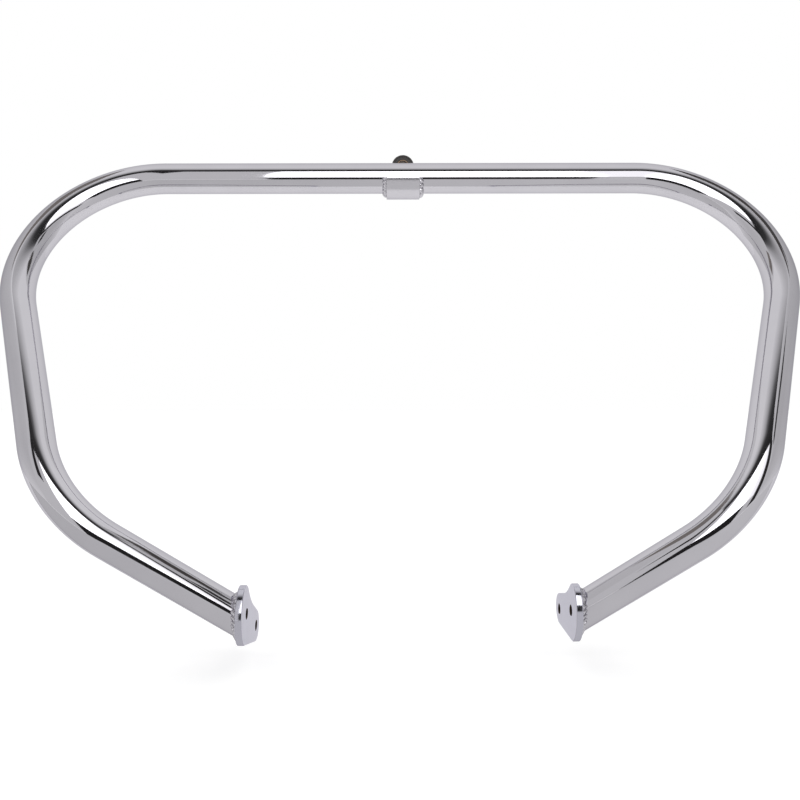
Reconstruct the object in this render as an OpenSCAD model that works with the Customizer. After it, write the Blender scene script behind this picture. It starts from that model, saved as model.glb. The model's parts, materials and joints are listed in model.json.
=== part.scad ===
// Crash bars for a motorcycle: one steel tube bent into a pair of side loops.
// A forged plate closes each end, and a strap at the top holds a rubber bush.
// +X is to the right, +Y to the rear and +Z up, as fitted to the machine.
// The origin is the middle of the top bush, on the top bolt's axis.

/* [Tube] */
// Outer diameter of the bent tube
tube_d = 31.75; // [22:0.25:44]
// Wall thickness of the tube
tube_wall = 2.4; // [1.2:0.1:4]
// Centreline radius of every bend
bend_r = 125; // [90:1:160]

/* [Loops] */
// Straight top bar, from the top bolt to the start of the left bend
reach_left = 253.8; // [200:0.1:320]
// Straight top bar, from the top bolt to the start of the right bend
reach_right = 247.2; // [200:0.1:320]
// Angle of each upper bend
upper_bend = 109.6; // [85:0.1:132]
// Straight side of each loop
side_len = 155.2; // [100:0.1:210]
// Angle of the left lower bend
lower_bend_left = 49.9; // [38:0.1:64]
// Angle of the right lower bend
lower_bend_right = 51.5; // [38:0.1:64]
// Rearward turn of the left lower bend about the side tube
twist_left = 35.4; // [0:0.1:60]
// Rearward turn of the right lower bend about the side tube
twist_right = 40.6; // [0:0.1:60]
// Backward lean of the loops
lean = 28.1; // [0:0.1:45]

/* [Lower mounts] */
// Distance between the mating faces of the two end plates
mount_gap = 288.6; // [230:0.2:360]
// Sideways distance from the top bolt to the middle of the lower mounts
mount_shift = 4; // [-20:0.1:20]
// Thickness of an end plate
plate_t = 6.35; // [4:0.05:12]
// Half length of an end plate's oval lobe, behind the tube
near_lobe_r = 25.8; // [20:0.1:32]
// Half width of the oval lobe
near_lobe_w = 17.4; // [14:0.1:24]
// Tilt of the oval from square to the line of holes
lobe_tilt = 18.5; // [0:0.5:45]
// Distance of the oval's middle ahead of the near hole
lobe_ahead = 3.3; // [0:0.1:6]
// Distance of the oval's middle below the near hole
lobe_drop = 1.8; // [0:0.1:5]
// Radius of an end plate's round lobe, past the tube
far_lobe_r = 14.7; // [9:0.1:19]
// Distance between the two holes of an end plate
hole_pitch = 47.2; // [38:0.1:60]
// Diameter of the tapped holes
hole_d = 9.52; // [6:0.02:13]
// Distance of the near hole ahead of the tube's axis
hole_ahead = 2.7; // [0:0.1:6]
// Height of the near hole above the tube's axis
hole_above = 2.9; // [0:0.1:6]
// Radius of the hollow between the two lobes
notch_r = 63; // [20:1:90]
// Downward slope of the left plate's line of holes
plate_slope_left = 29.3; // [0:0.1:45]
// Downward slope of the right plate's line of holes
plate_slope_right = 14.7; // [0:0.1:45]

/* [Top strap] */
// Thickness of the strap
strap_t = 6; // [3:0.1:9]
// Width of the strap round the bar
strap_w = 35.5; // [28:0.5:50]
// Angle from level down to the strap's front edge
strap_start = 13; // [0:1:60]
// Height of the top bolt above the bar's centreline
bolt_rise = 18.6; // [14:0.1:26]
// Length of the strap's eye
eye_len = 16; // [8:0.5:30]
// Wall thickness of the strap's eye
eye_wall = 2; // [1:0.1:4]

/* [Bush] */
// Diameter of the rubber bush's collars
collar_d = 24.2; // [18:0.1:34]
// Thickness of each collar
collar_t = 2.5; // [1:0.1:5]
// How far a collar overhangs the eye
collar_over = 0.6; // [0.2:0.1:2]
// Rounding at the edge of a collar, as a bevel
collar_bevel = 0.9; // [0.2:0.1:1.6]
// Outer diameter of the steel sleeve
sleeve_d = 13.6; // [12:0.1:16]
// Bore of the steel sleeve
sleeve_bore = 9.8; // [6:0.1:11.5]
// How far the sleeve stands out of the rubber at each end
sleeve_proud = 0.5; // [0:0.1:3]
// Clearance between the front collar and the bar
collar_gap = 0.5; // [0.3:0.1:3]

/* [Welds] */
// Leg of the weld bead round each tube end
end_bead = 3.5; // [2:0.5:7]
// Rim of the plate left bare outside the bead
bare_rim = 0.8; // [0.2:0.1:3]
// Leg of the weld beads beside the strap
strap_bead = 3.2; // [1.5:0.1:5]
// Angle round the bar that each strap bead covers
strap_bead_arc = 118; // [60:1:140]

/* [Hidden] */
$fn = 96;
LEFT = -1;
RIGHT = 1;
// Steps of each arc in an end plate's outline, and of the search for a tangent
arc_steps = 28;
search_steps = 30;
// Thickness of the slices that a bead is drawn over
slice = 0.05;
// Overrun of a cut past the face that it opens
over = 1;
// How far the strap's tongue is let into the wrap below it
root = 2;
// How far a bend runs on into a straight, and how much slimmer it is there
seam_run = 1;
seam_step = 0.05;

tube_r = tube_d / 2;
eye_r = collar_d / 2 - collar_over;
eye_bore_r = eye_r - eye_wall;
collar_drop = max(0, bolt_rise - collar_d / 2);
eye_front = sqrt(tube_r * tube_r - collar_drop * collar_drop) + collar_gap + collar_t;
bar = [0, -(eye_front + eye_len / 2), -bolt_rise];
sleeve_len = eye_len + 2 * (collar_t + sleeve_proud);

function reach(side) = side == LEFT ? reach_left : reach_right;
function lower_bend(side) = side == LEFT ? lower_bend_left : lower_bend_right;
function twist(side) = side == LEFT ? twist_left : twist_right;
function plate_slope(side) = side == LEFT ? plate_slope_left : plate_slope_right;
function face_x(side) = mount_gap / 2 + side * mount_shift;

// A station is a point of the centreline, its direction and its bending direction.
// The left half is worked out as a right half and mirrored when it is drawn.
function ahead(s, len) = [s[0] + s[1] * len, s[1], s[2]];
function bent(s, a) = [
    s[0] + s[2] * bend_r * (1 - cos(a)) + s[1] * bend_r * sin(a),
    s[1] * cos(a) + s[2] * sin(a),
    s[2] * cos(a) - s[1] * sin(a)];
function turned(s, a) = [s[0], s[1], s[2] * cos(a) + cross(s[1], s[2]) * sin(a)];
function start() = [bar, [1, 0, 0], [0, -sin(lean), -cos(lean)]];
function side_end(side) = ahead(bent(ahead(start(), reach(side)), upper_bend), side_len);
function leg_start(side) = bent(turned(side_end(side), twist(side)), lower_bend(side));
// Length of the leg from the lower bend to a plane square to X
function leg_to(side, x) = (x - leg_start(side)[0][0]) / leg_start(side)[1][0];
function leg_point(side, x) = ahead(leg_start(side), leg_to(side, x))[0];
// Where the tube's axis meets the back of the plate
function plate_mid(side) = leg_point(side, face_x(side) + plate_t);
// Centre of a plate's near hole, as seen along X
function near_hole(side) = plate_mid(side) + [
    0,
    hole_above * sin(plate_slope(side)) - hole_ahead * cos(plate_slope(side)),
    hole_above * cos(plate_slope(side)) + hole_ahead * sin(plate_slope(side))];

// Outline of an end plate about its near hole, with the far hole along +X.
// Angles are those of the outward normal, and rim is the margin left outside.
lobe_mid = [-lobe_ahead, -lobe_drop];
lobe_axis = 90 + lobe_tilt;
function along(a) = [cos(a), sin(a)];
function lobe_reach(a, rim) = norm([
    (near_lobe_r - rim) * cos(a - lobe_axis),
    (near_lobe_w - rim) * sin(a - lobe_axis)]);
function lobe_point(a, rim) = lobe_mid + (
    along(lobe_axis) * pow(near_lobe_r - rim, 2) * cos(a - lobe_axis)
    + along(lobe_axis + 90) * pow(near_lobe_w - rim, 2) * sin(a - lobe_axis))
    / lobe_reach(a, rim);
// Normal of the lower edge, which is the tangent of both lobes
function below(rim, lo, hi, left = search_steps) =
    let (a = (lo + hi) / 2)
    left == 0 ? a
    : ([hole_pitch, 0] - lobe_mid) * along(a) + far_lobe_r - rim < lobe_reach(a, rim)
        ? below(rim, a, hi, left - 1)
        : below(rim, lo, a, left - 1);
// Normal where the hollow of the upper edge leaves the oval
function hollow(rim, lo, hi, left = search_steps) =
    let (a = (lo + hi) / 2)
    left == 0 ? a
    : lobe_point(a, rim)[1] + (notch_r + rim) * sin(a) < far_lobe_r + notch_r
        ? hollow(rim, a, hi, left - 1)
        : hollow(rim, lo, a, left - 1);
function arc(c, r, from, to) = [
    for (i = [0:arc_steps]) c + r * along(from + (to - from) * i / arc_steps)];
function plate_outline(rim = 0) = let (
    low = below(rim, -125, -50),
    high = hollow(rim, 5, 100))
    concat(
        [for (i = [0:2 * arc_steps])
            lobe_point(high + (low + 360 - high) * i / (2 * arc_steps), rim)],
        arc([hole_pitch, 0], far_lobe_r - rim, low, 90),
        arc(lobe_point(high, rim) + (notch_r + rim) * along(high), notch_r + rim,
            270, 180 + high));

// Draws its children on one side, mirrored for the left
module on_side(side) {
    mirror([side == LEFT ? 1 : 0, 0, 0]) children();
}

// Puts children that are drawn along +Z, bending toward +X, at the start of the bar
module at_bar() {
    translate(bar) rotate([-lean, 0, 0]) rotate([0, 90, 0]) children();
}

// Moves on to the end of a bend
module past_bend(a) {
    translate([bend_r * (1 - cos(a)), 0, bend_r * sin(a)]) rotate([0, a, 0]) children();
}

module straight(r, len) {
    cylinder(r = r, h = len);
}

// A bend runs on a little inside the straights at its ends
module bend(r, a) {
    run_on = seam_run / bend_r * 180 / PI;
    translate([bend_r, 0, 0])
        rotate([-90, 0, 0])
            rotate_extrude(angle = a + 2 * run_on, start = 180 - run_on)
                translate([bend_r, 0])
                    circle(r = r - seam_step);
}

// Puts children at the foot of a loop's straight side
module at_side_end(side) {
    at_bar()
        translate([0, 0, reach(side)])
            past_bend(upper_bend)
                translate([0, 0, side_len])
                    children();
}

// Stands its children at the head of a leg, +Z along it
module at_leg(side) {
    at_side_end(side)
        rotate([0, 0, twist(side)])
            past_bend(lower_bend(side))
                children();
}

// The lower bend of one side
module foot_bend(side, r) {
    at_side_end(side) rotate([0, 0, twist(side)]) bend(r, lower_bend(side));
}

// A leg, run on past the end plate
module leg_run(side, r) {
    at_leg(side) straight(r, leg_to(side, face_x(side)) + 2 * tube_d);
}

// The stretch of a leg round its end plate, longer than the bead and the plate
module leg_end(side, r) {
    at_leg(side)
        translate([0, 0, leg_to(side, face_x(side)) - 2 * tube_d])
            straight(r, 4 * tube_d);
}

// One side loop with its leg, as a solid of radius r
module loop_run(side, r) {
    at_bar()
        translate([0, 0, reach(side)])
            bend(r, upper_bend);
    at_side_end(side) translate([0, 0, -side_len]) straight(r, side_len);
    foot_bend(side, r);
    leg_run(side, r);
}

// The whole run of the tube as a solid of radius r
module tube_run(r) {
    at_bar() translate([0, 0, -reach_left]) straight(r, reach_left + reach_right);
    for (side = [LEFT, RIGHT]) on_side(side) loop_run(side, r);
}

// Slab square to X round an end plate, from x0 outward to x1
module slab(side, x0, x1) {
    span = 2 * (near_lobe_r + hole_pitch);
    mid = plate_mid(side);
    translate([x0, mid[1] - span / 2, mid[2] - span / 2]) cube([x1 - x0, span, span]);
}

module guard_tube() {
    color("silver")
        difference() {
            tube_run(tube_r);
            tube_run(tube_r - tube_wall);
            for (side = [LEFT, RIGHT])
                on_side(side)
                    slab(side, face_x(side) + plate_t - 3 * tube_d, face_x(side) + plate_t);
        }
}

// Places an outline or a hole of an end plate on its mating face, +Z outward
module in_plate(side) {
    hole = near_hole(side);
    translate([face_x(side), hole[1], hole[2]])
        rotate([90, 0, 90])
            rotate(-plate_slope(side))
                children();
}

module end_plate(side) {
    color("silver")
        on_side(side)
            in_plate(side)
                difference() {
                    linear_extrude(plate_t) polygon(plate_outline());
                    for (x = [0, hole_pitch])
                        translate([x, 0, -over])
                            cylinder(d = hole_d, h = plate_t + 2 * over);
                }
}

// Weld bead laid round the tube on the back of an end plate
module end_bead(side) {
    back = face_x(side) + plate_t;
    color("silver")
        on_side(side)
            difference() {
                hull() {
                    intersection() {
                        leg_end(side, tube_r + end_bead);
                        slab(side, back, back + slice);
                        in_plate(side)
                            translate([0, 0, plate_t - over])
                                linear_extrude(end_bead)
                                    polygon(plate_outline(bare_rim));
                    }
                    intersection() {
                        leg_end(side, tube_r + slice);
                        slab(side, back + end_bead - slice, back + end_bead);
                    }
                }
                leg_end(side, tube_r);
                foot_bend(side, tube_r);
            }
}

// Stands its children on the bar's axis, +Z to the right and +X to the front
module round_bar() {
    translate(bar) rotate([0, 90, 0]) rotate([0, 0, -90]) children();
}

module top_strap() {
    wrap = 180 - strap_start;
    color("silver")
        difference() {
            union() {
                round_bar()
                    rotate([0, 0, 180])
                        mirror([0, 1, 0])
                            translate([0, 0, -strap_w / 2])
                                rotate_extrude(angle = wrap)
                                    translate([tube_r, 0])
                                        square([strap_t, strap_w]);
                translate([0, bar[1] + tube_r + strap_t, bar[2]])
                    rotate([90, 0, 0])
                        linear_extrude(strap_t)
                            polygon([
                                [-strap_w / 2 + slice, -root],
                                [strap_w / 2 - slice, -root],
                                [eye_r - slice, bolt_rise],
                                [-eye_r + slice, bolt_rise]]);
                translate([0, eye_len / 2, 0])
                    rotate([90, 0, 0])
                        cylinder(r = eye_r, h = eye_len);
            }
            translate([0, eye_len / 2 + over, 0])
                rotate([90, 0, 0])
                    cylinder(r = eye_bore_r, h = eye_len + 2 * over);
            translate([0, -eye_len / 2, 0])
                rotate([90, 0, 0])
                    cylinder(d = collar_d + 2 * collar_gap, h = collar_t + strap_t);
        }
}

// Quarter-round bead along one side of the strap, from its front edge under the bar
module strap_bead(side) {
    color("silver")
        round_bar()
            rotate([0, 0, strap_start])
                mirror([0, 0, side == LEFT ? 1 : 0])
                    translate([0, 0, strap_w / 2])
                        rotate_extrude(angle = strap_bead_arc)
                            translate([tube_r, 0])
                                intersection() {
                                    circle(r = strap_bead);
                                    square(strap_bead);
                                }
}

module bush_rubber() {
    half = eye_len / 2 + collar_t;
    color("#2b2624")
        rotate([90, 0, 0])
            rotate_extrude()
                polygon([
                    [sleeve_d / 2, -half],
                    [collar_d / 2 - collar_bevel, -half],
                    [collar_d / 2, -half + collar_bevel],
                    [collar_d / 2, -eye_len / 2],
                    [eye_bore_r, -eye_len / 2],
                    [eye_bore_r, eye_len / 2],
                    [collar_d / 2, eye_len / 2],
                    [collar_d / 2, half - collar_bevel],
                    [collar_d / 2 - collar_bevel, half],
                    [sleeve_d / 2, half]]);
}

module bush_sleeve() {
    color("tan")
        translate([0, sleeve_len / 2, 0])
            rotate([90, 0, 0])
                difference() {
                    cylinder(d = sleeve_d, h = sleeve_len);
                    translate([0, 0, -over])
                        cylinder(d = sleeve_bore, h = sleeve_len + 2 * over);
                }
}

guard_tube();
top_strap();
strap_bead(LEFT);  // strap_bead_left
strap_bead(RIGHT);  // strap_bead_right
bush_rubber();
bush_sleeve();
end_plate(LEFT);  // end_plate_left
end_plate(RIGHT);  // end_plate_right
end_bead(LEFT);  // end_bead_left
end_bead(RIGHT);  // end_bead_right
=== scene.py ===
"""Chromed crash bars for a motorcycle, standing in a white light tent."""

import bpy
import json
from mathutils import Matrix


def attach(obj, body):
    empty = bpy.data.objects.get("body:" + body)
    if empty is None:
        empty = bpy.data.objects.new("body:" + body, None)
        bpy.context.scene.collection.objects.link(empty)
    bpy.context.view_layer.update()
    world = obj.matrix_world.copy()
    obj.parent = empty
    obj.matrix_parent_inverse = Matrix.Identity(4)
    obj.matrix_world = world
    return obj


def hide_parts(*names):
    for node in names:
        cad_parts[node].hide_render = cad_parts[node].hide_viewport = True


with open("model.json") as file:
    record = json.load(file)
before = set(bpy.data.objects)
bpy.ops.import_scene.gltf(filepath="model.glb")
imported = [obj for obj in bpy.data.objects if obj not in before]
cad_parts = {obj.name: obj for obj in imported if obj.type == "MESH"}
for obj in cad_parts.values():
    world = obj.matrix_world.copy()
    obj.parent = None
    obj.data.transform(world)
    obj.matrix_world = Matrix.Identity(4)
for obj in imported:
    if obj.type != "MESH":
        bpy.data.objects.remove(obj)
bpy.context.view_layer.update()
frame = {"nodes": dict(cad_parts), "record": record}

import json
import logging
import math
from dataclasses import dataclass, field
from enum import Enum
from typing import Callable

import bmesh
import bpy
from mathutils import Matrix, Vector

LOG = logging.getLogger("crash_bars")
MM = 0.001
TOP_BOLT_TO_BAR = Vector((0.0, -25.4833, -18.6)) * MM
STRAP_HALF = 17.75
MIX_FACTOR, MIX_FIRST, MIX_SECOND, MIX_COLOUR_OUT = 0, 6, 7, 2
LYING, LYING_ACROSS = (0, 0, 0), (0, 0, 90)
FACING_FRONT, FACING_SIDE = (90, 0, 0), (90, 0, 90)


class Side(Enum):
    """The two loops of the guard, as they stand in the photograph."""

    LEFT = -1
    RIGHT = 1


def linear(code: str) -> tuple[float, float, float, float]:
    """Turns an sRGB hex colour into linear light.

    Args:
        code: The colour as #rrggbb.

    Returns:
        Red, green, blue and an alpha of one.
    """
    parts = [int(code[i:i + 2], 16) / 255 for i in (1, 3, 5)]
    light = [c / 12.92 if c <= 0.04045 else ((c + 0.055) / 1.055) ** 2.4 for c in parts]
    return (light[0], light[1], light[2], 1.0)


def add_node(tree: bpy.types.NodeTree, kind: str, settings: dict | None = None,
             links: dict | None = None) -> bpy.types.Node:
    """Adds one node with its settings and links.

    Args:
        tree: The node tree that takes the node.
        kind: The node's type name in Blender.
        settings: Attribute names or input names with their values.
        links: Input names with the output sockets that feed them.

    Returns:
        The new node.
    """
    node = tree.nodes.new(kind)
    for name, value in (settings or {}).items():
        if isinstance(name, int) or name in node.inputs:
            node.inputs[name].default_value = value
        else:
            setattr(node, name, value)
    for name, socket in (links or {}).items():
        tree.links.new(socket, node.inputs[name])
    return node


def blank_material(name: str) -> bpy.types.Material:
    """Makes a material with an empty node tree."""
    mat = bpy.data.materials.new(name)
    mat.use_nodes = True
    mat.node_tree.nodes.clear()
    return mat


def noise(tree: bpy.types.NodeTree, place: bpy.types.NodeSocket, size_mm: float,
          detail: float, roughness: float = 0.5) -> bpy.types.NodeSocket:
    """Adds noise of a real size.

    Args:
        tree: The node tree that takes it.
        place: The Object coordinates.
        size_mm: The size of its patches.
        detail: How many finer layers it has.
        roughness: How strong the finer layers are.

    Returns:
        The noise's value.
    """
    return add_node(tree, "ShaderNodeTexNoise", {
        "Scale": 1 / (size_mm * MM), "Detail": detail, "Roughness": roughness,
    }, {"Vector": place}).outputs["Fac"]


def two_tone(tree: bpy.types.NodeTree, factor: bpy.types.NodeSocket, first: str,
             second: str) -> bpy.types.NodeSocket:
    """Adds a blend of two colours.

    Args:
        tree: The node tree that takes it.
        factor: The share of the second colour.
        first: One colour as #rrggbb.
        second: The other colour as #rrggbb.

    Returns:
        The blended colour.
    """
    return add_node(tree, "ShaderNodeMix", {
        "data_type": "RGBA", MIX_FIRST: linear(first), MIX_SECOND: linear(second),
    }, {MIX_FACTOR: factor}).outputs[MIX_COLOUR_OUT]


@dataclass(frozen=True)
class ChromePlate:
    """Bright chrome over buffed nickel on steel.

    Buffing leaves a mirror with a faint haze, hairlines and a slow orange-peel
    wave, which soften the edges of what it reflects.
    """

    name: str = "bright_chrome_plate"
    colour: str = "#c9c7cc"
    haze_colour: str = "#bdbbc1"
    roughness: float = 0.035
    haze: float = 0.05
    wave_mm: float = 46.0
    wave_height_mm: float = 0.004
    hairline_mm: float = 0.9
    mottle_mm: float = 0.0
    mottle_height_mm: float = 0.0
    edge_tint: str = "#d3d2d6"

    def make(self) -> bpy.types.Material:
        """Builds the material.

        Returns:
            The chrome, with its haze and waves on Object coordinates.
        """
        mat = blank_material(self.name)
        tree = mat.node_tree
        place = add_node(tree, "ShaderNodeTexCoord").outputs["Object"]
        cloud = noise(tree, place, self.wave_mm, 4.0, 0.55)
        hair = noise(tree, place, self.hairline_mm, 2.0)
        rough = add_node(tree, "ShaderNodeMapRange", {
            "From Min": 0.35, "From Max": 0.75,
            "To Min": self.roughness, "To Max": self.roughness + self.haze,
        }, {"Value": cloud})
        bump = add_node(tree, "ShaderNodeBump", {
            "Strength": 0.25, "Distance": self.wave_height_mm * MM,
        }, {"Height": hair})
        if self.mottle_mm:
            mottle = noise(tree, place, self.mottle_mm, 3.0)
            bump = add_node(tree, "ShaderNodeBump", {
                "Strength": 0.8, "Distance": self.mottle_height_mm * MM,
            }, {"Height": mottle, "Normal": bump.outputs["Normal"]})
        skin = add_node(tree, "ShaderNodeBsdfPrincipled", {
            "Metallic": 1.0, "Specular Tint": linear(self.edge_tint),
        }, {
            "Base Color": two_tone(tree, cloud, self.colour, self.haze_colour),
            "Roughness": rough.outputs["Result"],
            "Normal": bump.outputs["Normal"],
        })
        add_node(tree, "ShaderNodeOutputMaterial", None, {"Surface": skin.outputs["BSDF"]})
        return mat


@dataclass(frozen=True)
class BareSteel:
    """Unplated steel in the tube's hollow and the tapped holes, dark with scale and oil."""

    name: str = "oiled_bare_steel"
    colour: str = "#2b2521"
    scale: str = "#4a3a2e"
    patch_mm: float = 2.5

    def make(self) -> bpy.types.Material:
        """Builds the material.

        Returns:
            The dark steel, with patches of mill scale.
        """
        mat = blank_material(self.name)
        tree = mat.node_tree
        place = add_node(tree, "ShaderNodeTexCoord").outputs["Object"]
        patch = noise(tree, place, self.patch_mm, 4.0)
        rough = add_node(tree, "ShaderNodeMapRange", {
            "To Min": 0.45, "To Max": 0.75,
        }, {"Value": patch})
        skin = add_node(tree, "ShaderNodeBsdfPrincipled", {"Metallic": 1.0}, {
            "Base Color": two_tone(tree, patch, self.colour, self.scale),
            "Roughness": rough.outputs["Result"],
        })
        add_node(tree, "ShaderNodeOutputMaterial", None, {"Surface": skin.outputs["BSDF"]})
        return mat


@dataclass(frozen=True)
class MouldedRubber:
    """Black natural rubber, moulded and bloomed, so it is matt with a fine grain."""

    name: str = "moulded_rubber"
    colour: str = "#262322"
    bloom: str = "#3b3634"
    bloom_mm: float = 6.0
    grain_mm: float = 0.35
    grain_height_mm: float = 0.08

    def make(self) -> bpy.types.Material:
        """Builds the material.

        Returns:
            The rubber, with its bloom and grain.
        """
        mat = blank_material(self.name)
        tree = mat.node_tree
        place = add_node(tree, "ShaderNodeTexCoord").outputs["Object"]
        bloom = noise(tree, place, self.bloom_mm, 5.0)
        grain = noise(tree, place, self.grain_mm, 2.0)
        rough = add_node(tree, "ShaderNodeMapRange", {
            "To Min": 0.5, "To Max": 0.8,
        }, {"Value": bloom})
        bump = add_node(tree, "ShaderNodeBump", {
            "Strength": 0.5, "Distance": self.grain_height_mm * MM,
        }, {"Height": grain})
        skin = add_node(tree, "ShaderNodeBsdfPrincipled", None, {
            "Base Color": two_tone(tree, bloom, self.colour, self.bloom),
            "Roughness": rough.outputs["Result"],
            "Normal": bump.outputs["Normal"],
        })
        add_node(tree, "ShaderNodeOutputMaterial", None, {"Surface": skin.outputs["BSDF"]})
        return mat


@dataclass(frozen=True)
class ZincPlate:
    """Turned steel under yellowed zinc plate, satin, with fine turning rings."""

    name: str = "yellowed_zinc_plate"
    colour: str = "#7a6858"
    dull: str = "#54473e"
    cloud_mm: float = 3.0
    ring_mm: float = 0.25
    ring_height_mm: float = 0.02

    def make(self) -> bpy.types.Material:
        """Builds the material.

        Returns:
            The plated steel, with rings round the bolt's axis.
        """
        mat = blank_material(self.name)
        tree = mat.node_tree
        place = add_node(tree, "ShaderNodeTexCoord").outputs["Object"]
        rings = add_node(tree, "ShaderNodeTexWave", {
            "wave_type": "RINGS", "rings_direction": "Y",
            "Scale": 0.1 / (self.ring_mm * MM), "Distortion": 0.6, "Detail": 2.0,
        }, {"Vector": place})
        cloud = noise(tree, place, self.cloud_mm, 4.0)
        bump = add_node(tree, "ShaderNodeBump", {
            "Strength": 0.3, "Distance": self.ring_height_mm * MM,
        }, {"Height": rings.outputs["Fac"]})
        skin = add_node(tree, "ShaderNodeBsdfPrincipled", {
            "Metallic": 1.0, "Roughness": 0.45,
        }, {
            "Base Color": two_tone(tree, cloud, self.colour, self.dull),
            "Normal": bump.outputs["Normal"],
        })
        add_node(tree, "ShaderNodeOutputMaterial", None, {"Surface": skin.outputs["BSDF"]})
        return mat


def deselect() -> None:
    """Leaves edit mode and clears the selection."""
    if bpy.context.object and bpy.context.object.mode != "OBJECT":
        bpy.ops.object.mode_set(mode="OBJECT")
    bpy.ops.object.select_all(action="DESELECT")


def pick(piece: bpy.types.Object) -> None:
    """Selects one piece alone and makes it active."""
    deselect()
    piece.select_set(True)
    bpy.context.view_layer.objects.active = piece


def even_mesh(piece: bpy.types.Object, grain_mm: float) -> None:
    """Gives the active piece an even mesh.

    Args:
        piece: The piece.
        grain_mm: The size of the mesh's faces.
    """
    even = piece.modifiers.new("even", "REMESH")
    even.mode = "VOXEL"
    even.voxel_size = grain_mm * MM
    bpy.ops.object.modifier_apply(modifier=even.name)


def settle(piece: bpy.types.Object, name: str, material: bpy.types.Material,
           smooth_degrees: float, flat_first: bool = False) -> None:
    """Finishes a piece: its place into its mesh, its shading, finish, slot and body.

    Args:
        piece: The modelled object.
        name: Its new name.
        material: Its finish.
        smooth_degrees: Faces that meet at less than this are shaded as one.
        flat_first: Keeps the large flat faces flat beside their rounded edges.
    """
    pick(piece)
    bpy.ops.object.transform_apply(location=True, rotation=True, scale=True)
    bpy.ops.object.shade_smooth_by_angle(angle=math.radians(smooth_degrees))
    if flat_first:
        level = piece.modifiers.new("level", "WEIGHTED_NORMAL")
        level.keep_sharp = True
        level.weight = 100
        bpy.ops.object.modifier_apply(modifier=level.name)
    piece.name = piece.data.name = name
    piece.data.materials.clear()
    piece.data.materials.append(material)
    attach(piece, "root")
    LOG.info("%s: %d faces", name, len(piece.data.polygons))


def copy_of_node(node: str) -> bpy.types.Object:
    """Copies a CAD node's mesh and merges its loose triangles.

    Args:
        node: The node's name.

    Returns:
        The copy, selected and active.
    """
    source = frame["nodes"][node]
    twin = bpy.data.objects.new(node + "_finished", source.data.copy())
    bpy.context.scene.collection.objects.link(twin)
    pick(twin)
    bpy.ops.object.mode_set(mode="EDIT")
    bpy.ops.mesh.select_all(action="SELECT")
    bpy.ops.mesh.remove_doubles(threshold=0.002 * MM)
    bpy.ops.object.mode_set(mode="OBJECT")
    return twin


def soften(piece: bpy.types.Object, width: float, chosen: Callable[[bmesh.types.BMEdge], bool],
           segments: int = 3) -> None:
    """Rounds the edges of a piece that a test accepts.

    Args:
        piece: The object to work on.
        width: How far the rounding reaches from each edge, in metres.
        chosen: Says of an edge whether it is rounded.
        segments: Faces across the rounding.
    """
    pick(piece)
    bpy.ops.object.mode_set(mode="EDIT")
    bpy.ops.mesh.select_mode(type="EDGE")
    bpy.ops.mesh.select_all(action="DESELECT")
    mesh = bmesh.from_edit_mesh(piece.data)
    for edge in mesh.edges:
        edge.select_set(len(edge.link_faces) == 2 and chosen(edge))
    bmesh.update_edit_mesh(piece.data)
    bpy.ops.mesh.bevel(offset=width, segments=segments, profile=0.5, clamp_overlap=True)
    bpy.ops.mesh.select_mode(type="VERT")
    bpy.ops.object.mode_set(mode="OBJECT")


def flatten(piece: bpy.types.Object, degrees: float = 1.0) -> None:
    """Joins the loose triangles of each flat face into one.

    Args:
        piece: The object to work on.
        degrees: Faces that meet at less than this become one.
    """
    pick(piece)
    bpy.ops.object.mode_set(mode="EDIT")
    bpy.ops.mesh.select_all(action="SELECT")
    bpy.ops.mesh.dissolve_limited(angle_limit=math.radians(degrees))
    bpy.ops.object.mode_set(mode="OBJECT")


def lathe(outline: list[tuple[float, float]], steps: int = 96) -> bpy.types.Object:
    """Turns a closed outline round the top bolt's axis.

    Args:
        outline: Radius and place along the axis of each corner, in millimetres.
        steps: Faces round the axis.

    Returns:
        The turned object.
    """
    deselect()
    bpy.ops.mesh.primitive_circle_add(vertices=len(outline), radius=MM)
    piece = bpy.context.object
    for point, (radius, along) in zip(piece.data.vertices, outline):
        point.co = (radius * MM, along * MM, 0)
    bpy.ops.object.mode_set(mode="EDIT")
    bpy.ops.mesh.select_all(action="SELECT")
    bpy.ops.mesh.spin(steps=steps, angle=math.radians(360), center=(0, 0, 0), axis=(0, 1, 0))
    bpy.ops.mesh.select_all(action="SELECT")
    bpy.ops.mesh.remove_doubles(threshold=0.001 * MM)
    bpy.ops.mesh.normals_make_consistent(inside=False)
    bpy.ops.object.mode_set(mode="OBJECT")
    return piece


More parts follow.
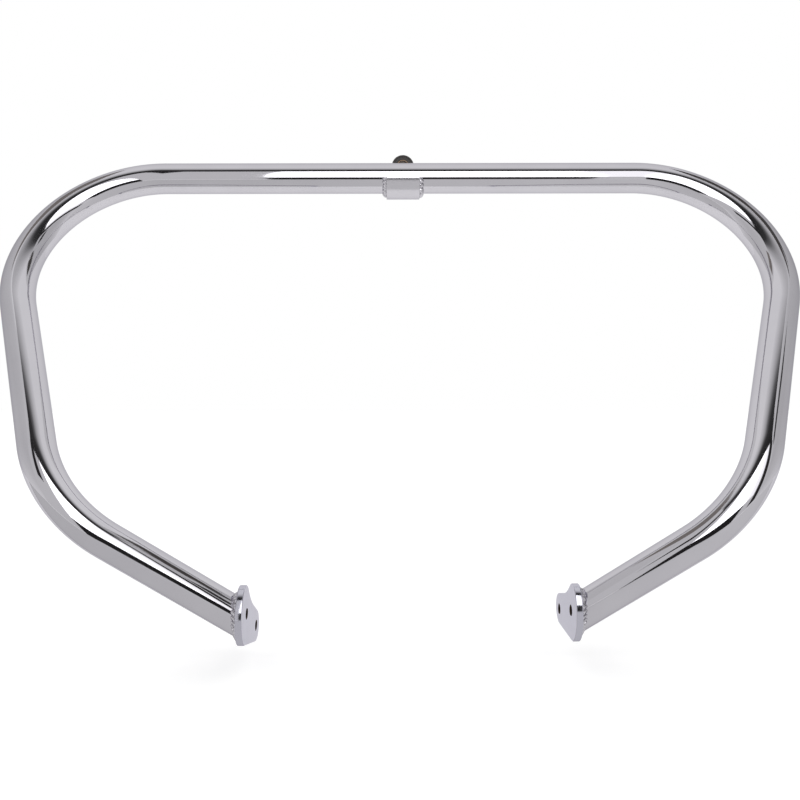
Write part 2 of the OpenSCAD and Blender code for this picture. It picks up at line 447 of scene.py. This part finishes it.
@dataclass
class GuardTube:
    """The steel tube: a top bar bent down into a loop, a side and a leg on each side."""

    outer_r: float = 15.79
    wall: float = 2.315
    bend_r: float = 125.0
    lean: float = 28.1
    upper_bend: float = 109.6
    side_len: float = 155.2
    plate_t: float = 6.35
    mount_gap: float = 288.6
    mount_shift: float = 4.0
    reach: dict[Side, float] = field(default_factory=lambda: {Side.LEFT: 253.8, Side.RIGHT: 247.2})
    lower_bend: dict[Side, float] = field(
        default_factory=lambda: {Side.LEFT: 49.9, Side.RIGHT: 51.5})
    twist: dict[Side, float] = field(default_factory=lambda: {Side.LEFT: 35.4, Side.RIGHT: 40.6})
    legs_below_z: float = -0.3
    sides_round: int = 96
    bend_steps: int = 40

    def back_x(self, side: Side) -> float:
        """Returns the signed place of an end plate's back along X."""
        return side.value * (self.mount_gap / 2 + self.plate_t) * MM + self.mount_shift * MM

    def push(self, along: Vector) -> None:
        """Extrudes the selected end of the tube along a vector."""
        bpy.ops.mesh.extrude_region_move(TRANSFORM_OT_translate={"value": along})

    def turn(self, at: Vector, along: Vector, toward: Vector, degrees: float
             ) -> tuple[Vector, Vector, Vector]:
        """Follows the centreline round a bend.

        Args:
            at: The centreline's point at the start of the bend.
            along: The direction there.
            toward: The direction to the bend's centre.
            degrees: The angle of the bend.

        Returns:
            The point, the direction and the bending direction at its end.
        """
        centre = at + toward * self.bend_r * MM
        round_axis = Matrix.Rotation(math.radians(degrees), 3, along.cross(toward))
        return centre + round_axis @ (at - centre), round_axis @ along, round_axis @ toward

    def stations(self, side: Side) -> list[tuple[Vector, Vector, Vector]]:
        """Follows the centreline of one half from the middle of the bar to its last bend.

        Args:
            side: The half to follow.

        Returns:
            Point, direction and bending direction at both ends of both bends.
        """
        lean = math.radians(self.lean)
        along = Vector((side.value, 0.0, 0.0))
        toward = Vector((0.0, -math.sin(lean), -math.cos(lean)))
        first = (TOP_BOLT_TO_BAR + along * self.reach[side] * MM, along, toward)
        second = self.turn(*first, self.upper_bend)
        at, along, toward = second
        twist = Matrix.Rotation(side.value * math.radians(self.twist[side]), 3, along)
        third = (at + along * self.side_len * MM, along, twist @ toward)
        return [first, second, third, self.turn(*third, self.lower_bend[side])]

    def foot(self, side: Side) -> tuple[Vector, Vector]:
        """Returns where the leg's axis meets the back of its end plate, and its direction."""
        at, along, _ = self.stations(side)[-1]
        return at + along * ((self.back_x(side) - at.x) / along.x), along

    def run(self, side: Side) -> None:
        """Runs one half of the tube from the middle of the bar to past its end plate.

        Args:
            side: The half to run.
        """
        at = TOP_BOLT_TO_BAR.copy()
        stops = self.stations(side)
        for start, end, degrees in ((stops[0], stops[1], self.upper_bend),
                                    (stops[2], stops[3], self.lower_bend[side])):
            self.push(start[0] - at)
            axis = start[1].cross(start[2]).normalized()
            centre = start[0] + start[2] * self.bend_r * MM
            bpy.ops.mesh.spin(steps=self.bend_steps, angle=-math.radians(degrees),
                              center=centre, axis=axis)
            at = end[0]
        foot, along = self.foot(side)
        self.push(foot - at + along * 2 * self.outer_r * MM)

    def build(self, chrome: bpy.types.Material, inside: bpy.types.Material) -> None:
        """Models the tube, cuts its ends at the plates and gives it its wall.

        Args:
            chrome: Its finish.
            inside: The finish of its hollow.
        """
        halves = []
        for side in Side:
            deselect()
            bpy.ops.mesh.primitive_circle_add(
                vertices=self.sides_round, radius=self.outer_r * MM,
                location=TOP_BOLT_TO_BAR, rotation=(0, math.radians(90), 0))
            half = bpy.context.object
            bpy.ops.object.transform_apply(location=True, rotation=True, scale=True)
            bpy.ops.object.mode_set(mode="EDIT")
            bpy.ops.mesh.select_all(action="SELECT")
            self.run(side)
            bpy.ops.mesh.select_all(action="SELECT")
            bpy.ops.mesh.bisect(
                plane_co=(self.back_x(side), 0, 0), plane_no=(side.value, 0, 0),
                clear_inner=False, clear_outer=False)
            bpy.ops.object.mode_set(mode="OBJECT")
            self.cut_past_plate(half, side)
            halves.append(half)
        deselect()
        for half in halves:
            half.select_set(True)
        tube = halves[0]
        bpy.context.view_layer.objects.active = tube
        bpy.ops.object.join()
        bpy.ops.object.mode_set(mode="EDIT")
        bpy.ops.mesh.select_all(action="SELECT")
        bpy.ops.mesh.remove_doubles(threshold=0.01 * MM)
        bpy.ops.mesh.normals_make_consistent(inside=False)
        bpy.ops.object.mode_set(mode="OBJECT")
        skins = len(tube.data.polygons)
        wall = tube.modifiers.new("wall", "SOLIDIFY")
        wall.thickness = self.wall * MM
        wall.offset = -1
        bpy.ops.object.modifier_apply(modifier=wall.name)
        settle(tube, "bent_tube", chrome, 60)
        tube.data.materials.append(inside)
        for face in list(tube.data.polygons)[skins:2 * skins]:
            face.material_index = 1
        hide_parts("guard_tube")

    def cut_past_plate(self, half: bpy.types.Object, side: Side) -> None:
        """Deletes what runs past the back of an end plate, near that plate only.

        Args:
            half: The half of the tube, split at the plate's plane.
            side: Which half it is.
        """
        mesh = bmesh.new()
        mesh.from_mesh(half.data)
        back = self.back_x(side) * side.value - 0.001 * MM
        gone = [f for f in mesh.faces
                if f.calc_center_median().x * side.value < back
                and f.calc_center_median().z < self.legs_below_z]
        bmesh.ops.delete(mesh, geom=gone, context="FACES")
        mesh.to_mesh(half.data)
        mesh.free()


@dataclass
class EndPlate:
    """The steel plate over each end of the tube, tapped for two bolts.

    Its rim is rounded by the buffing, and the turns of the tapped thread stand in
    the holes.
    """

    edge_round: float = 1.1
    sharp_degrees: float = 60.0
    hole_lead: float = 0.45
    lead_segments: int = 2
    hole_margin: float = 1.0
    pitch: float = 1.5875
    thread_root: float = 0.05
    thread_half: float = 0.46
    thread_low: float = 4.0
    turns: float = 3.5
    steps: int = 40
    holes: tuple[str, str] = ("near_hole", "far_hole")

    def mounts(self, side: Side) -> list[dict]:
        """Returns the record's mounts of the two tapped holes."""
        names = [f"{side.name.lower()}_{hole}" for hole in self.holes]
        return [m for m in frame["record"]["mounts"] if m["name"] in names]

    def near_hole(self, point: Vector, mounts: list[dict]) -> bool:
        """Says whether a point lies on the wall of a tapped hole.

        Args:
            point: The point.
            mounts: The holes' mounts.

        Returns:
            True near or inside a hole's wall.
        """
        return any(math.hypot(point.y - m["pos_m"][1], point.z - m["pos_m"][2])
                   < (m["dims"]["r_mm"] + self.hole_margin) * MM for m in mounts)

    def thread(self, mount: dict) -> bpy.types.Object:
        """Winds the thread's ridge along the wall of one hole.

        Args:
            mount: The hole's mount.

        Returns:
            The ridge, laid along the hole.
        """
        wall = mount["dims"]["r_mm"] + self.thread_root
        half = self.pitch * self.thread_half
        deselect()
        bpy.ops.mesh.primitive_circle_add(vertices=3, radius=MM)
        ridge = bpy.context.object
        corners = ((wall, -half), (self.thread_low, 0.0), (wall, half))
        for point, (radius, along) in zip(ridge.data.vertices, corners):
            point.co = (radius * MM, 0, along * MM)
        wind = ridge.modifiers.new("wind", "SCREW")
        wind.axis = "Z"
        wind.angle = math.radians(360 * self.turns)
        wind.screw_offset = self.pitch * self.turns * MM
        wind.steps = wind.render_steps = int(self.steps * self.turns)
        wind.use_merge_vertices = False
        bpy.ops.object.modifier_apply(modifier=wind.name)
        bpy.ops.object.mode_set(mode="EDIT")
        bpy.ops.mesh.select_all(action="SELECT")
        bpy.ops.mesh.fill_holes(sides=3)
        bpy.ops.mesh.select_all(action="SELECT")
        bpy.ops.mesh.normals_make_consistent(inside=False)
        bpy.ops.object.mode_set(mode="OBJECT")
        start = -self.pitch * self.turns / 2 * MM
        ridge.rotation_euler = (0, math.radians(90), 0)
        ridge.location = Vector(mount["pos_m"]) + Vector((start, 0, 0))
        return ridge

    def build(self, side: Side, chrome: bpy.types.Material, bare: bpy.types.Material) -> None:
        """Finishes one plate and winds the threads into its holes.

        Args:
            side: The plate to finish.
            chrome: Its finish.
            bare: The finish of the tapped threads.
        """
        node = f"end_plate_{side.name.lower()}"
        mounts = self.mounts(side)
        plate = copy_of_node(node)
        flatten(plate)
        sharp = math.radians(self.sharp_degrees)
        soften(plate, self.edge_round * MM,
               lambda e: e.calc_face_angle(0) > sharp and not self.near_hole(
                   (e.verts[0].co + e.verts[1].co) / 2, mounts))
        soften(plate, self.hole_lead * MM,
               lambda e: e.calc_face_angle(0) > sharp and self.near_hole(
                   (e.verts[0].co + e.verts[1].co) / 2, mounts), self.lead_segments)
        settle(plate, f"bolt_plate_{side.name.lower()}", chrome, 40, True)
        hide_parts(node)
        for mount in mounts:
            ridge = self.thread(mount)
            settle(ridge, mount["name"] + "_thread", bare, 30)


@dataclass
class WeldBead:
    """A hand-laid weld round a tube where a plate or a strap meets it.

    It is the CAD bead, grown from the corner that it fills at each ripple and
    shrunk back towards that corner between them.
    """

    node: str
    name: str
    axis_at: Vector
    axis: Vector
    plane_x: float
    ripple: float = 3.6
    dip: float = 0.5
    sway: float = 0.22
    bulge: float = 1.42
    drift: float = 1.1
    blunt: float = 0.7
    phase: float = 0.0
    grain: float = 0.36
    tube_r: float = 15.875

    def root(self, point: Vector) -> tuple[Vector, float]:
        """Finds the corner that the bead fills beside a point.

        Args:
            point: A point of the bead.

        Returns:
            The corner, and its angle round the tube.
        """
        out = point - self.axis_at
        out -= out.dot(self.axis) * self.axis
        out.normalize()
        skin = self.axis_at + out * self.tube_r * MM
        corner = skin + self.axis * ((self.plane_x - skin.x) / self.axis.x)
        side = self.axis.orthogonal().normalized()
        return corner, math.atan2(out.dot(self.axis.cross(side)), out.dot(side))

    def size_at(self, angle: float) -> float:
        """Returns the bead's size at an angle round the tube, as a share of the CAD bead."""
        run = angle * self.tube_r + self.drift * math.sin(5 * angle + self.phase)
        ripple = abs(math.sin(math.pi * run / self.ripple + self.phase)) ** self.blunt
        wander = 0.5 + 0.3 * math.sin(11 * angle + 2.3 * self.phase) + 0.2 * math.sin(
            23 * angle + 1.7 * self.phase)
        return self.bulge - self.dip * (1 - ripple) - self.sway * wander

    def build(self, weld: bpy.types.Material) -> None:
        """Lays the bead.

        Args:
            weld: Its finish.
        """
        bead = copy_of_node(self.node)
        even_mesh(bead, self.grain)
        for vertex in bead.data.vertices:
            corner, angle = self.root(vertex.co)
            vertex.co = corner + (vertex.co - corner) * self.size_at(angle)
        settle(bead, self.name, weld, 75)
        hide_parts(self.node)


@dataclass
class TopStrap:
    """The forged strap that wraps the bar and carries the bush's eye."""

    grain: float = 0.45
    ease: float = 0.5
    ease_rounds: int = 5

    def build(self, chrome: bpy.types.Material) -> None:
        """Rounds the strap's sheared edges by easing an even mesh of it.

        Args:
            chrome: Its finish.
        """
        strap = copy_of_node("top_strap")
        even_mesh(strap, self.grain)
        ease = strap.modifiers.new("ease", "SMOOTH")
        ease.factor = self.ease
        ease.iterations = self.ease_rounds
        bpy.ops.object.modifier_apply(modifier=ease.name)
        settle(strap, "bar_strap", chrome, 75)
        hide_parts("top_strap")


@dataclass
class Bush:
    """The rubber bush in the strap's eye, with its steel sleeve."""

    eye_half: float = 8.0
    half: float = 10.5
    bore: float = 6.8
    waist: float = 10.6
    collar: float = 12.09
    edge: float = 0.9
    rib: float = 9.7
    rib_w: float = 0.7
    rib_h: float = 0.45
    sleeve_half: float = 11.0
    sleeve_bore: float = 4.9
    chamfer: float = 0.55

    def rubber_outline(self) -> list[tuple[float, float]]:
        """Returns the rubber's section: two collars, each with a moulded groove."""
        face = [
            (self.bore, 0.0), (self.rib - self.rib_w, 0.0),
            (self.rib - self.rib_w / 2, -self.rib_h), (self.rib + self.rib_w / 2, -self.rib_h),
            (self.rib + self.rib_w, 0.0), (self.collar - self.edge, 0.0),
            (self.collar - self.edge * 0.3, -self.edge * 0.3),
            (self.collar, -self.edge),
        ]
        front = [(r, -self.half - y) for r, y in face]
        front += [(self.collar, -self.eye_half), (self.waist, -self.eye_half)]
        back = [(r, -y) for r, y in reversed(front)]
        return front + back

    def sleeve_outline(self) -> list[tuple[float, float]]:
        """Returns the sleeve's section, chamfered inside and out."""
        low, high, cut, end = self.sleeve_bore, self.bore, self.chamfer, self.sleeve_half
        front = [(low, -end + cut), (low + cut, -end), (high - cut, -end), (high, -end + cut)]
        return front + [(r, -y) for r, y in reversed(front)]

    def build(self, rubber: bpy.types.Material, zinc: bpy.types.Material) -> None:
        """Turns the rubber and the sleeve.

        Args:
            rubber: The rubber's finish.
            zinc: The sleeve's finish.
        """
        ring = lathe(self.rubber_outline())
        settle(ring, "bush_ring", rubber, 30)
        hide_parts("bush_rubber")
        tube = lathe(self.sleeve_outline())
        settle(tube, "bush_tube", zinc, 30)
        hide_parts("bush_sleeve")


@dataclass
class Studio:
    """The light tent: pale floor and walls, a bright front opening and its dark frame."""

    floor_z: float = -0.4985
    floor_size: float = 30.0
    floor_tone: float = 0.93
    floor_glow: float = 0.16
    front_y: float = -1.15
    wall_x: float = 1.35
    ceiling_z: float = 1.0
    camera_at: tuple[float, float, float] = (-0.00637, -0.79055, -0.25728)
    camera_turn: tuple[float, float, float] = (90.02, 0.152, -0.19)
    lens: float = 31.988

    def floor(self) -> None:
        """Lays the pale floor that runs out under the guard."""
        deselect()
        bpy.ops.mesh.primitive_plane_add(size=1, location=(0, 0, self.floor_z))
        floor = bpy.context.object
        floor.scale = (self.floor_size, self.floor_size, 1)
        floor.name = "pale_floor"
        mat = bpy.data.materials.new("white_paper")
        mat.use_nodes = True
        skin = mat.node_tree.nodes["Principled BSDF"]
        skin.inputs["Base Color"].default_value = (*[self.floor_tone] * 3, 1)
        skin.inputs["Roughness"].default_value = 0.9
        skin.inputs["Emission Color"].default_value = (1, 1, 1, 1)
        skin.inputs["Emission Strength"].default_value = self.floor_glow
        floor.data.materials.append(mat)

    def panel(self, name: str, middle: tuple[float, float, float], size: tuple[float, float],
              turn: tuple[float, float, float], glow: float, colour: str = "#ffffff",
              fade: list[tuple[float, float]] | None = None) -> None:
        """Hangs a flat panel in the tent, seen only in reflections.

        Args:
            name: The panel's name.
            middle: Its middle.
            size: Its width and height.
            turn: Its turn from lying flat, in degrees.
            glow: How bright it is beside the tent's back.
            colour: The colour of its light, without a fade.
            fade: Places up its height, from 0 to 1, with the share of the glow there.
        """
        deselect()
        bpy.ops.mesh.primitive_plane_add(
            size=1, location=middle, rotation=[math.radians(a) for a in turn])
        card = bpy.context.object
        card.scale = (size[0], size[1], 1)
        card.name = name
        mat = blank_material(name + "_light")
        tree = mat.node_tree
        light = add_node(tree, "ShaderNodeEmission", {
            "Color": linear(colour), "Strength": glow})
        if fade:
            place = add_node(tree, "ShaderNodeTexCoord")
            parts = add_node(tree, "ShaderNodeSeparateXYZ", None, {0: place.outputs["Object"]})
            height = add_node(tree, "ShaderNodeMath", {"operation": "ADD", 1: 0.5},
                              {0: parts.outputs["Y"]})
            ramp = add_node(tree, "ShaderNodeValToRGB", None, {"Fac": height.outputs[0]})
            steps = ramp.color_ramp.elements
            while len(steps) < len(fade):
                steps.new(0.5)
            for step, (at, share) in zip(steps, fade):
                step.position = at
                step.color = (share, share, share, 1)
            tree.links.new(ramp.outputs["Color"], light.inputs["Color"])
        add_node(tree, "ShaderNodeOutputMaterial", None, {"Surface": light.outputs[0]})
        card.data.materials.append(mat)
        card.visible_camera = False
        card.visible_shadow = False
        card.visible_diffuse = False

    def front(self, name: str, low: tuple[float, float], high: tuple[float, float],
              glow: float, lift: float = 0.0) -> None:
        """Stands a panel upright in the tent's front.

        Args:
            name: The panel's name.
            low: Its lowest x and z.
            high: Its highest x and z.
            glow: How bright it is.
            lift: How far it stands behind the front plane, away from the guard.
        """
        self.panel(name, ((low[0] + high[0]) / 2, self.front_y - lift, (low[1] + high[1]) / 2),
                   (high[0] - low[0], high[1] - low[1]), FACING_FRONT, glow)

    def hang_cards(self) -> None:
        """Hangs the bright opening, its dark frame, the walls and the shades."""
        self.front("front_light", (-0.345, -0.17), (0.52, 0.84), 3.0, 0.02)
        self.front("front_light_edge", (0.52, -0.17), (0.76, 0.84), 1.7, 0.02)
        self.front("front_sill", (-0.345, -0.68), (0.50, -0.17), 0.02)
        self.front("front_head", (-0.9, 0.84), (1.05, 1.15), 0.03)
        self.front("front_left_post", (-0.88, 0.2), (-0.62, 0.84), 0.03)
        self.front("front_right_post", (0.80, -0.43), (1.10, 0.84), 0.03)
        self.panel("dark_ceiling_front", (0.05, -0.78, self.ceiling_z), (1.7, 0.72),
                   LYING, 1.0,
                   fade=[(0.0, 0.03), (0.28, 0.05), (0.41, 0.17), (0.57, 0.52), (0.75, 0.76),
                         (1.0, 0.98)])
        self.panel("ceiling_left_edge", (-0.93, -0.22, self.ceiling_z), (0.38, 0.7),
                   LYING, 0.26, "#fff6ee")
        self.panel("ceiling_right_edge", (0.93, -0.26, self.ceiling_z), (0.42, 0.68),
                   LYING, 0.09, "#fff6f0")
        self.front("front_wall", (-1.35, -0.48), (1.35, 1.9), 0.80, 0.06)
        self.panel("left_wall", (-self.wall_x, -0.3, 0.7), (2.4, 2.4), FACING_SIDE, 1.0,
                   fade=[(0.0, 0.95), (0.12, 0.8), (0.3, 0.72), (0.7, 0.76), (1.0, 0.85)])
        self.panel("right_wall", (self.wall_x, -0.3, 0.7), (2.4, 2.4), FACING_SIDE, 1.0,
                   fade=[(0.0, 0.95), (0.12, 0.76), (0.3, 0.66), (0.7, 0.7), (1.0, 0.8)])
        self.panel("floor_shade", (0.0, -0.635, self.floor_z + 0.001), (1.03, 2.6),
                   LYING_ACROSS, 1.0,
                   fade=[(0.0, 0.86), (0.35, 0.83), (0.65, 0.73), (1.0, 0.71)])
        self.panel("right_gap_front", (self.wall_x - 0.03, -1.05, 0.86), (0.6, 0.3),
                   FACING_SIDE, 0.06)
        self.panel("right_gap_back", (self.wall_x - 0.03, -0.26, 1.16), (0.5, 0.26),
                   FACING_SIDE, 0.10)

    def light_tent(self) -> None:
        """Fills the tent's back with even white light."""
        world = bpy.data.worlds.new("light_tent")
        bpy.context.scene.world = world
        world.use_nodes = True
        tree = world.node_tree
        tree.nodes.clear()
        sky = add_node(tree, "ShaderNodeBackground", {
            "Color": (1.0, 1.0, 1.0, 1), "Strength": 1.0})
        add_node(tree, "ShaderNodeOutputWorld", None, {"Surface": sky.outputs[0]})
        bpy.context.scene.view_settings.view_transform = "Standard"

    def stand_camera(self) -> None:
        """Stands the camera where the photograph's camera stood."""
        data = bpy.data.cameras.new("camera")
        data.sensor_width = 36.0
        data.lens = self.lens
        data.dof.use_dof = False
        camera = bpy.data.objects.new("camera", data)
        bpy.context.scene.collection.objects.link(camera)
        camera.location = self.camera_at
        camera.rotation_euler = [math.radians(a) for a in self.camera_turn]
        bpy.context.scene.camera = camera

    def build(self) -> None:
        """Sets up the tent and the camera."""
        self.floor()
        self.hang_cards()
        self.light_tent()
        self.stand_camera()


def weld_beads(guard: GuardTube) -> list[WeldBead]:
    """Lists the four welds with the corners that they fill.

    Args:
        guard: The tube that they sit on.

    Returns:
        Two beads at the end plates and two at the strap.
    """
    beads = []
    for side in Side:
        word = side.name.lower()
        at, along = guard.foot(side)
        beads.append(WeldBead(f"end_bead_{word}", f"plate_weld_{word}", at, along,
                              guard.back_x(side), phase=1.3 + side.value))
        beads.append(WeldBead(f"strap_bead_{word}", f"strap_weld_{word}",
                              TOP_BOLT_TO_BAR, Vector((1, 0, 0)), side.value * STRAP_HALF * MM,
                              ripple=3.4, dip=0.5, sway=0.35, bulge=1.45,
                              phase=0.6 + side.value))
    return beads


def main() -> None:
    """Builds the dressed guard and its studio in order."""
    logging.basicConfig(level=logging.INFO, format="%(name)s: %(message)s")
    chrome = ChromePlate().make()
    plate_chrome = ChromePlate(name="ground_chrome_plate", colour="#c3c2cc",
                               haze_colour="#b6b5bf", edge_tint="#e2e1e5",
                               roughness=0.08).make()
    buffed_chrome = ChromePlate(name="buffed_chrome_strap", roughness=0.2, haze=0.08).make()
    weld_chrome = ChromePlate(name="chromed_weld", roughness=0.05, haze=0.04,
                              mottle_mm=2.4, mottle_height_mm=0.7).make()
    rubber = MouldedRubber().make()
    zinc = ZincPlate().make()
    finishes = {"chrome": chrome, "weld": weld_chrome, "rubber": rubber, "sleeve": zinc}
    for part in frame["record"]["subparts"]:
        node = frame["nodes"][part["node"]]
        node.data.materials.clear()
        node.data.materials.append(finishes[part["material_slot"]])
    guard = GuardTube()
    bare = BareSteel().make()
    guard.build(chrome, bare)
    for side in Side:
        EndPlate().build(side, plate_chrome, bare)
    TopStrap().build(buffed_chrome)
    for bead in weld_beads(guard):
        bead.build(weld_chrome)
    Bush().build(rubber, zinc)
    Studio().build()


if __name__ == "__main__":
    main()
